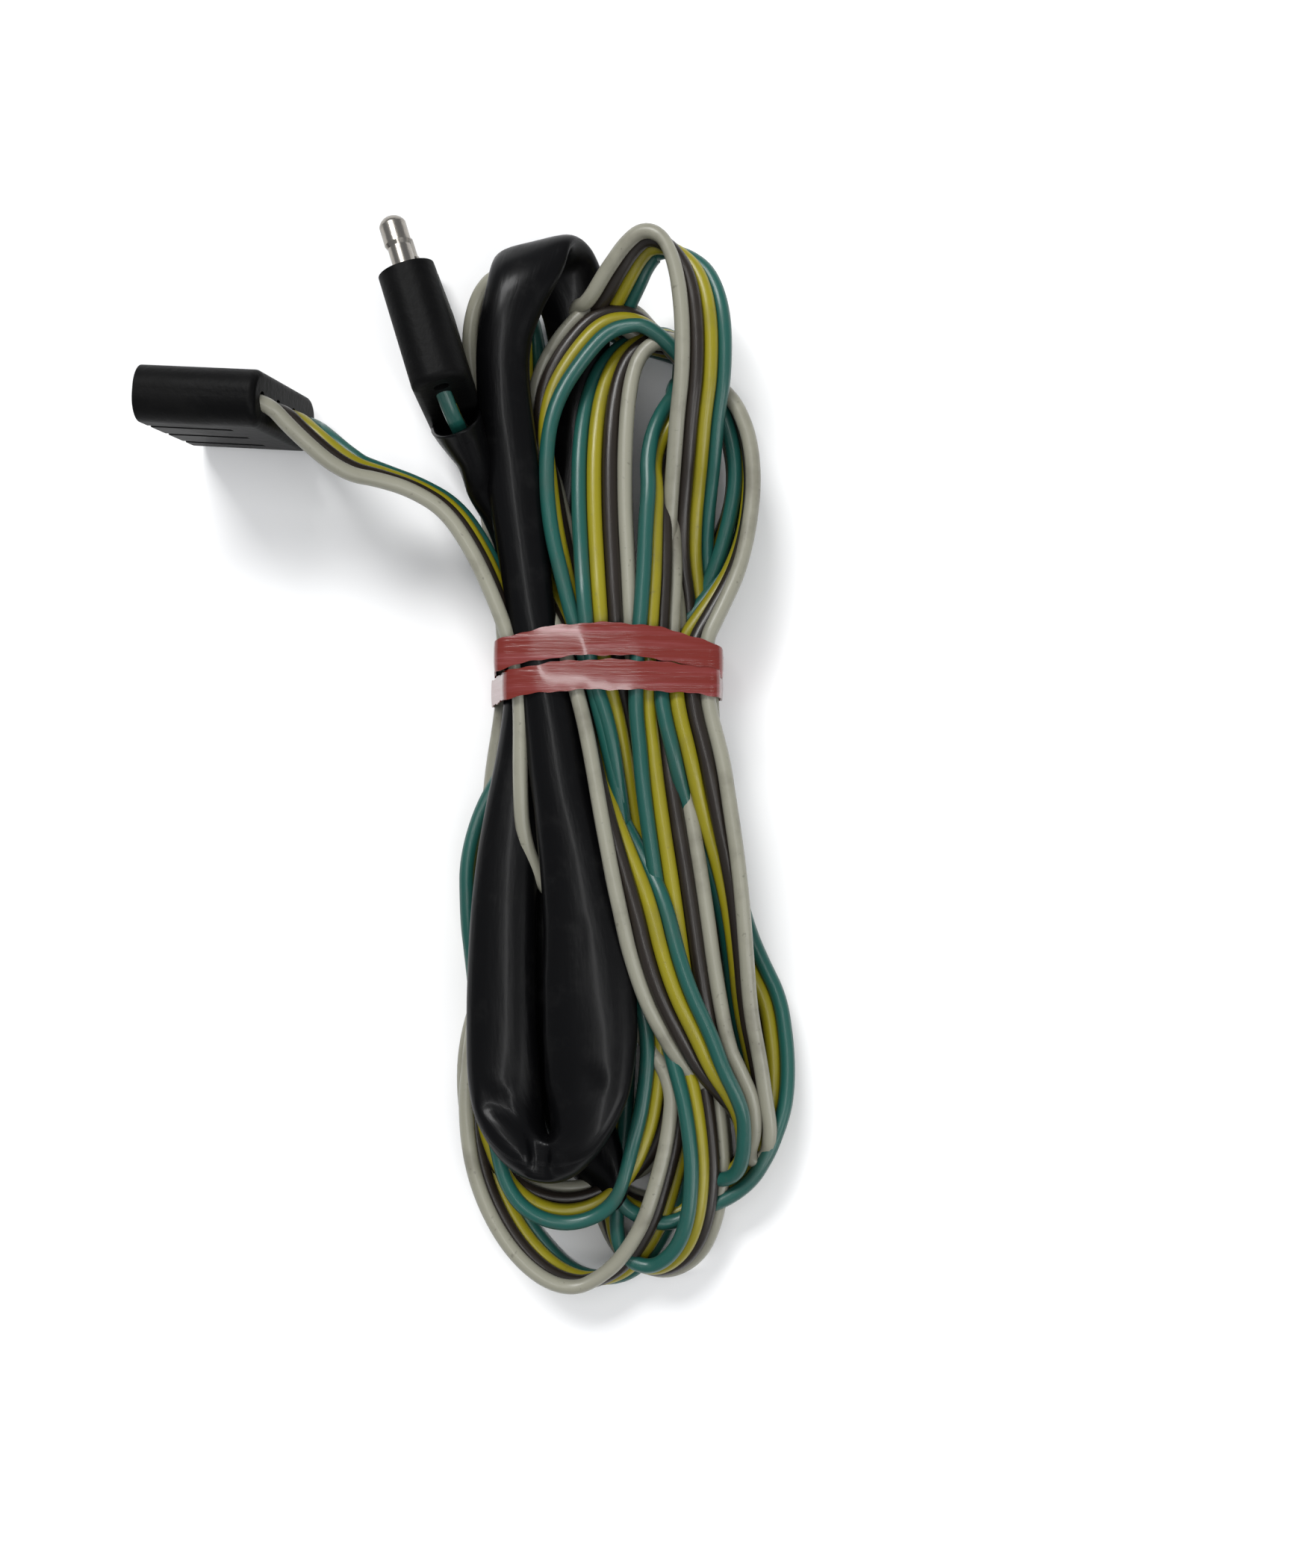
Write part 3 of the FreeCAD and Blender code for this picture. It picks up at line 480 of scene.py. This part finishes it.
def tube_mesh(name, line, side, up, half_width, half_height, around, power=2.0):
    """A closed tube whose section is an oval of changing size along a line."""
    turn = np.linspace(0.0, 2.0 * math.pi, around, endpoint=False)
    cosine = np.sign(np.cos(turn)) * np.abs(np.cos(turn)) ** (2.0 / power)
    sine = np.sign(np.sin(turn)) * np.abs(np.sin(turn)) ** (2.0 / power)
    half_width = np.broadcast_to(half_width, len(line))
    half_height = np.broadcast_to(half_height, len(line))
    rings = (
        line[:, None, :]
        + side[:, None, :] * (half_width[:, None] * cosine)[:, :, None]
        + up[:, None, :] * (half_height[:, None] * sine)[:, :, None]
    )
    count = len(line)
    faces = []
    for ring in range(count - 1):
        here = ring * around
        for step in range(around):
            after = (step + 1) % around
            faces.append((here + step, here + after, here + around + after, here + around + step))
    faces.append(tuple(reversed(range(around))))
    faces.append(tuple(range((count - 1) * around, count * around)))
    mesh = bpy.data.meshes.new(name)
    mesh.from_pydata(rings.reshape(-1, 3).tolist(), [], faces)
    mesh.update()
    travelled = np.concatenate([[0.0], np.cumsum(np.linalg.norm(np.diff(line, axis=0), axis=1))])
    centimetres = travelled * 100.0
    layer = mesh.uv_layers.new(name="length")
    for polygon in mesh.polygons:
        for loop in polygon.loop_indices:
            vertex = mesh.loops[loop].vertex_index
            layer.data[loop].uv = (centimetres[vertex // around], (vertex % around) / around)
    mesh.shade_smooth()
    piece = bpy.data.objects.new(name, mesh)
    bpy.context.scene.collection.objects.link(piece)
    return piece


# The four insulated wires. Each is a soft vinyl tube over copper strands, bonded to its
# neighbours along a thin web, so the ribbon is one extruded strip in four colours.
# ---------------------------------------------------------------------------------------
class Socket:
    """A node socket that can be used in arithmetic."""

    def __init__(self, tree, link):
        self.tree = tree
        self.link = link

    def node(self, kind, settings, **values):
        """A new node: its settings, then its sockets by name or, as _0, by number."""
        made = self.tree.nodes.new(kind)
        for key, value in settings.items():
            setattr(made, key, value)
        for key, value in values.items():
            numbered = key[1:].isdigit()
            socket = made.inputs[int(key[1:]) if numbered else key.replace("_", " ")]
            if isinstance(value, Socket):
                self.tree.links.new(value.link, socket)
            else:
                socket.default_value = value
        return made

    def maths(self, operation, first, second):
        made = self.node("ShaderNodeMath", {"operation": operation}, _0=first, _1=second)
        return Socket(self.tree, made.outputs[0])

    def __add__(self, other):
        return self.maths("ADD", self, other)

    __radd__ = __add__

    def __mul__(self, other):
        return self.maths("MULTIPLY", self, other)

    __rmul__ = __mul__

    def __sub__(self, other):
        return self.maths("SUBTRACT", self, other)

    def __rsub__(self, other):
        return self.maths("SUBTRACT", other, self)

    def noise(self, scale, detail=3.0, roughness=0.55):
        made = self.node(
            "ShaderNodeTexNoise", {}, Vector=self, Scale=scale, Detail=detail, Roughness=roughness
        )
        return Socket(self.tree, made.outputs["Fac"])

    def stretched(self, x, y, z):
        made = self.node("ShaderNodeMapping", {}, Vector=self, Scale=(x, y, z))
        return Socket(self.tree, made.outputs["Vector"])

    def band(self, low, high):
        """Nought below the band, one above it, and smooth between."""
        made = self.node(
            "ShaderNodeMapRange", {"interpolation_type": "SMOOTHSTEP"}, Value=self,
            From_Min=low, From_Max=high,
        )
        return Socket(self.tree, made.outputs["Result"])

    def blend(self, first, second):
        """The first colour where this is nought, the second where it is one."""
        made = self.node("ShaderNodeMix", {"data_type": "RGBA"}, _0=self, _6=first, _7=second)
        return Socket(self.tree, made.outputs[2])


def new_finish(name):
    """A material with its shader, its object coordinates and its lengthwise UV."""
    finish = bpy.data.materials.new(name)
    finish.use_nodes = True
    tree = finish.node_tree
    shader = tree.nodes["Principled BSDF"]
    place = Socket(tree, tree.nodes.new("ShaderNodeTexCoord").outputs["Object"])
    uv = tree.nodes.new("ShaderNodeUVMap")
    uv.uv_map = "length"
    return finish, tree, shader, place, Socket(tree, uv.outputs["UV"])


def feed(tree, shader, name, value):
    """Links a varying value to one of the shader's sockets."""
    tree.links.new(value.link, shader.inputs[name])


def bump(tree, shader, height, distance, strength):
    """Raises the surface by a varying height, in metres at the most."""
    made = height.node("ShaderNodeBump", {}, Height=height, Distance=distance, Strength=strength)
    tree.links.new(made.outputs["Normal"], shader.inputs["Normal"])


def vinyl(name, colour, dirt_colour, dirt, gloss):
    """Extruded vinyl insulation: faint drag lines along it, handling dirt, soft shine."""
    finish, tree, shader, place, length = new_finish(name)
    patches = place.noise(95.0, 4.0, 0.6).band(0.48, 0.78)
    specks = place.noise(900.0, 2.0, 0.5).band(0.66, 0.76)
    grime = patches * dirt + specks * dirt * 0.8
    shade = place.noise(38.0, 2.0).band(0.3, 0.7)
    paler = tuple(min(1.0, channel * 1.12) for channel in colour[:3]) + (1.0,)
    body = shade.blend(colour, paler)
    feed(tree, shader, "Base Color", grime.blend(body, dirt_colour))
    feed(tree, shader, "Roughness", grime * 0.35 + gloss)
    drag = length.stretched(0.6, 9.0, 1.0).noise(6.0, 3.0)
    bump(tree, shader, drag + place.noise(420.0, 2.0) * 0.5, 0.00006, 0.6)
    shader.inputs["Specular IOR Level"].default_value = 0.3
    shader.inputs["Coat Weight"].default_value = 0.15
    shader.inputs["Coat Roughness"].default_value = 0.22
    return finish


DUST = (0.06, 0.05, 0.036, 1.0)
WIRE_GLOSS = 0.33
WIRE_SIDES = 12
# Each wire's colour name, then its station across the flat ribbon and its corner where the
# wires gather, then its colour and how dirty it is.
WIRES = [
    ("white", (-1.5, -1, -1), (0.215, 0.21, 0.165, 1.0), 0.50),
    ("brown", (-0.5, -1, 1), (0.014, 0.0105, 0.008, 1.0), 0.15),
    ("yellow", (0.5, 1, -1), (0.205, 0.178, 0.007, 1.0), 0.30),
    ("green", (1.5, 1, 1), (0.009, 0.066, 0.054, 1.0), 0.22),
]
# The simplified solids that each wire stands for.
SOFT_SOLIDS = {
    "white": ["socket_wire_white", "plug_wire_white", "hank_waist"],
    "brown": ["socket_wire_brown", "plug_wire_brown", "ribbon_upper_loops"],
    "yellow": ["socket_wire_yellow", "plug_wire_yellow", "ribbon_lower_loops"],
    "green": ["socket_wire_green", "plug_wire_green"],
}
bundle = []
for colour_name, station, colour, dirt in WIRES:
    line = ribbon.strand(*station)
    line[:, 2] = np.maximum(line[:, 2], WIRE_RADIUS)
    wire = tube_mesh(
        f"{colour_name}_wire", line, ribbon.across, ribbon.outward, WIRE_RADIUS, WIRE_RADIUS, WIRE_SIDES
    )
    wire.data.materials.append(vinyl(f"{colour_name} vinyl", colour, DUST, dirt, WIRE_GLOSS))
    bundle.append(wire)
    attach(wire, "harness")
    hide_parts(*SOFT_SOLIDS[colour_name])


# The sleeve: a soft glossy black vinyl tube pulled over the last half metre of the ribbon.
# It is flattened where it folds over at the top and kinks into two lobes at the bottom.
# ---------------------------------------------------------------------------------------
SLEEVE_START = (len(BARE_ROUTE) - 1) * STEPS
STEPS_PAST_SLEEVE = 12
SLEEVE_END = len(ribbon.middle) - STEPS_PAST_SLEEVE
WALL = 1.1 * MM
LIP = 0.1 * MM
MOUTH_DEPTH = 2.5 * MM
SLEEVE_SIDES = 40
SLEEVE_SQUARENESS = 2.1
span = slice(SLEEVE_START, SLEEVE_END)
line = ribbon.middle[span]
across = ribbon.across[span]
outward = ribbon.outward[span]
half_width = ribbon.half_width[span]
half_height = ribbon.half_height[span]
# The last two rings turn back inside the mouth, so that its wall shows.
inwards = -ribbon.heading[SLEEVE_END - 1]
sleeve = tube_mesh(
    "sleeve",
    np.concatenate([line, [line[-1] + inwards * LIP, line[-1] + inwards * MOUTH_DEPTH]]),
    np.concatenate([across, across[-1:], across[-1:]]),
    np.concatenate([outward, outward[-1:], outward[-1:]]),
    np.concatenate([half_width, half_width[-1] - [WALL, WALL]]),
    np.concatenate([half_height, half_height[-1] - [WALL, WALL]]),
    SLEEVE_SIDES, SLEEVE_SQUARENESS,
)
# Creases are pressed into the top of the sleeve where it kinks and folds, down to the wires
# at the deepest. Each has its start, end, depth and half width in millimetres.
WIRES_TOP = 3.4 * MM
FRONT_LEG_HEIGHT = 12.0 * MM
CREASES = [
    ((11.6, -60.5), (12.0, -71.5), 3.2, 1.5),
    ((-0.5, -56.0), (9.0, -60.5), 1.3, 1.6),
    ((20.0, -54.5), (13.0, -61.0), 1.5, 1.6),
    ((17.0, -29.0), (14.5, -42.0), 1.4, 1.4),
    ((12.0, 85.5), (15.5, 80.5), 0.7, 1.3),
]
for vertex in sleeve.data.vertices:
    vertex.co.z = max(vertex.co.z, 0.0)
    middle = line[np.argmin(np.sum((line - np.array(vertex.co)) ** 2, axis=1))]
    if vertex.co.z < middle[2] or middle[2] <= FRONT_LEG_HEIGHT:
        continue
    for start, end, depth, reach in CREASES:
        start, end = Vector(start) * MM, Vector(end) * MM
        run = end - start
        offset = Vector(vertex.co[:2]) - start
        share = max(0.0, min(1.0, offset.dot(run) / run.length_squared))
        gap = (offset - run * share).length
        lowest = min(vertex.co.z, middle[2] + WIRES_TOP)
        pressed = vertex.co.z - depth * MM * math.exp(-((gap / (reach * MM)) ** 2))
        vertex.co.z = max(pressed, lowest)
bundle.append(sleeve)


def sleeve_vinyl():
    """Soft black vinyl: dusty in patches, with faint ripples across its length."""
    finish, tree, shader, place, length = new_finish("black sleeve vinyl")
    dust = place.noise(140.0, 4.0, 0.65).band(0.5, 0.85)
    black, dusty = (0.002, 0.002, 0.0023, 1.0), (0.009, 0.0088, 0.0085, 1.0)
    feed(tree, shader, "Base Color", (dust * 0.5).blend(black, dusty))
    feed(tree, shader, "Roughness", dust * 0.25 + place.noise(30.0, 2.0) * 0.1 + 0.27)
    ripples = length.stretched(0.25, 5.0, 1.0).noise(4.0, 3.0)
    bump(tree, shader, ripples + place.noise(60.0, 1.0) * 0.4, 0.0003, 0.3)
    shader.inputs["Specular IOR Level"].default_value = 0.1
    shader.inputs["Coat Weight"].default_value = 0.05
    shader.inputs["Coat Roughness"].default_value = 0.15
    return finish


sleeve.data.materials.append(sleeve_vinyl())
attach(sleeve, "harness")
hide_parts("sleeve_upper_loop", "sleeve_lower_loop", "sleeve_lead")


# The tie: two turns of glossy red tape pulled tight around the waist of the hank. Each is a
# thin band that lies on the outline of what it holds, and sags where the hank is narrower.
# ---------------------------------------------------------------------------------------
def red_tape():
    """Stretched red tape: shiny, with fine creases along it streaked pale pink, partly real crease
    whitening and partly painted highlight.
    """
    finish, tree, shader, place, length = new_finish("red tape")
    creases = place.stretched(40.0, 900.0, 40.0).noise(1.0, 4.0, 0.6)
    # Pale pink streaks along the creases: partly whitened creases, partly a painted highlight standing
    # in for the tape's sheen.
    creases_whitened_and_painted_sheen = creases.band(0.45, 0.75)
    red, pale_red_painted_sheen = (0.14, 0.014, 0.009, 1.0), (0.24, 0.06, 0.065, 1.0)
    feed(tree, shader, "Base Color", (creases_whitened_and_painted_sheen * 0.6).blend(red, pale_red_painted_sheen))
    feed(tree, shader, "Roughness", creases * 0.2 + 0.12)
    bump(tree, shader, creases, 0.0004, 0.5)
    shader.inputs["Specular IOR Level"].default_value = 0.4
    shader.inputs["Coat Weight"].default_value = 0.35
    shader.inputs["Coat Roughness"].default_value = 0.1
    return finish


tape = red_tape()
TAPE_THICKNESS = 0.3
REACH_BELOW = 6.0
REACH_ABOVE = 3.0
SAG_POWER = 2.2


def taut_outline(low, high, count):
    """The line that a tape pulled tight takes round the bundle between two places along it."""
    places = []
    for piece in bundle:
        for vertex in piece.data.vertices:
            if low < vertex.co.y < high:
                places.append((vertex.co.x, vertex.co.z))
    places = sorted(set(places))

    def half(points):
        chain = []
        for point in points:
            while len(chain) > 1 and (
                (chain[-1][0] - chain[-2][0]) * (point[1] - chain[-2][1])
                - (chain[-1][1] - chain[-2][1]) * (point[0] - chain[-2][0])
            ) <= 0.0:
                chain.pop()
            chain.append(point)
        return chain[:-1]

    corners = np.array(half(places) + half(places[::-1]))
    closed = np.concatenate([corners, corners[:1]])
    reach = np.concatenate([[0.0], np.cumsum(np.linalg.norm(np.diff(closed, axis=0), axis=1))])
    stations = np.linspace(0.0, reach[-1], count, endpoint=False)
    outline = np.stack([np.interp(stations, reach, closed[:, axis]) for axis in (0, 1)], axis=1)
    for _ in range(3):
        outline = (np.roll(outline, 1, axis=0) + outline * 2.0 + np.roll(outline, -1, axis=0)) / 4.0
    return outline


def tape_wrap(name, middle, width, left_drop, right_drop, top_gap, lift):
    """One turn of tape, in millimetres: it drops towards the sides, where it is pulled down."""
    count, rows = 220, 7
    outline = taut_outline((middle - REACH_BELOW) * MM, (middle + REACH_ABOVE) * MM, count)
    centre = (outline.min(axis=0) + outline.max(axis=0)) / 2.0
    ahead = np.roll(outline, -1, axis=0) - np.roll(outline, 1, axis=0)
    normal = unit(np.stack([ahead[:, 1], -ahead[:, 0]], axis=1))
    outline = outline + normal * lift * MM
    outline[:, 1] = np.maximum(outline[:, 1], 0.0001)
    half_span = (outline[:, 0].max() - outline[:, 0].min()) / 2.0
    side = (outline[:, 0] - centre[0]) / half_span
    drop = np.where(side < 0.0, left_drop, right_drop) * np.abs(side) ** SAG_POWER
    wobble = 0.12 * np.sin(np.arange(count) * 0.35) + 0.08 * np.sin(np.arange(count) * 0.93 + 1.0)
    places, faces = [], []
    for row in range(rows):
        share = row / (rows - 1) - 0.5
        along_y = middle - drop + share * (width - top_gap * np.abs(side) ** 2) + wobble * share * 2.0
        curl = 0.10 * (1.0 - (2.0 * share) ** 2)
        ring = outline + normal * curl * MM
        places.extend(zip(ring[:, 0], along_y * MM, ring[:, 1]))
    for row in range(rows - 1):
        for step in range(count):
            after = (step + 1) % count
            here, above = row * count, (row + 1) * count
            faces.append((here + step, here + after, above + after, above + step))
    mesh = bpy.data.meshes.new(name)
    mesh.from_pydata([tuple(map(float, place)) for place in places], [], faces)
    layer = mesh.uv_layers.new(name="length")
    for polygon in mesh.polygons:
        for loop in polygon.loop_indices:
            vertex = mesh.loops[loop].vertex_index
            layer.data[loop].uv = (abs((vertex % count) / count - 0.5), (vertex // count) / rows)
    wrap = bpy.data.objects.new(name, mesh)
    bpy.context.scene.collection.objects.link(wrap)
    bpy.ops.object.select_all(action="DESELECT")
    bpy.context.view_layer.objects.active = wrap
    wrap.select_set(True)
    thickness = wrap.modifiers.new("thickness", "SOLIDIFY")
    thickness.thickness = TAPE_THICKNESS * MM
    thickness.offset = 0.0
    bpy.ops.object.modifier_apply(modifier="thickness")
    bpy.ops.object.mode_set(mode="EDIT")
    bpy.ops.mesh.select_all(action="SELECT")
    bpy.ops.mesh.normals_make_consistent(inside=False)
    bpy.ops.object.mode_set(mode="OBJECT")
    bpy.ops.object.shade_smooth_by_angle(angle=math.radians(40))
    wrap.data.materials.append(tape)
    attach(wrap, "harness")
    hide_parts(name.replace("tape", "tie_wrap"))


tape_wrap("tape_upper", 21.6, 5.5, 3.3, 4.0, 0.4, 0.15)
tape_wrap("tape_lower", 15.5, 5.1, 2.7, 1.6, 0.6, 0.42)


# The connectors: black rubber moulded over a stiff plastic carrier, nickel-plated bullets,
# brass contacts, and the copper strands crimped into them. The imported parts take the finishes.
# ---------------------------------------------------------------------------------------
def moulded_rubber():
    """Matt black rubber with a fine grain and a little dust."""
    finish, tree, shader, place, length = new_finish("moulded rubber")
    dust = place.noise(60.0, 4.0, 0.65).band(0.45, 0.8)
    black, dusty = (0.002, 0.002, 0.0021, 1.0), (0.008, 0.0078, 0.0076, 1.0)
    feed(tree, shader, "Base Color", (dust * 0.5).blend(black, dusty))
    feed(tree, shader, "Roughness", dust * 0.15 + 0.5)
    bump(tree, shader, place.noise(900.0, 2.0) + place.noise(110.0, 2.0), 0.00012, 0.6)
    shader.inputs["Specular IOR Level"].default_value = 0.07
    return finish


def metal(name, colour, roughness):
    """Bare or plated metal, darker and duller where it is tarnished."""
    finish, tree, shader, place, length = new_finish(name)
    tarnish = place.noise(300.0, 3.0).band(0.4, 0.8)
    darker = tuple(channel * 0.6 for channel in colour[:3]) + (1.0,)
    feed(tree, shader, "Base Color", (tarnish * 0.5).blend(colour, darker))
    feed(tree, shader, "Roughness", tarnish * 0.15 + roughness)
    bump(tree, shader, place.noise(1500.0, 2.0), 0.00004, 0.4)
    shader.inputs["Metallic"].default_value = 1.0
    return finish


FINISHES = {
    "connector_rubber": moulded_rubber(),
    "carrier_plastic": vinyl("carrier plastic", (0.06, 0.06, 0.065, 1.0), DUST, 0.1, 0.5),
    "contact_brass": metal("contact brass", (0.72, 0.52, 0.24, 1.0), 0.25),
    "pin_nickel": metal("nickel plate", (0.30, 0.28, 0.25, 1.0), 0.24),
    "copper": metal("copper strands", (0.80, 0.42, 0.26, 1.0), 0.35),
}
for entry in frame["record"]["subparts"]:
    finish = FINISHES.get(entry["material_slot"])
    if finish:
        node = frame["nodes"][entry["node"]]
        node.data.materials.clear()
        node.data.materials.append(finish)
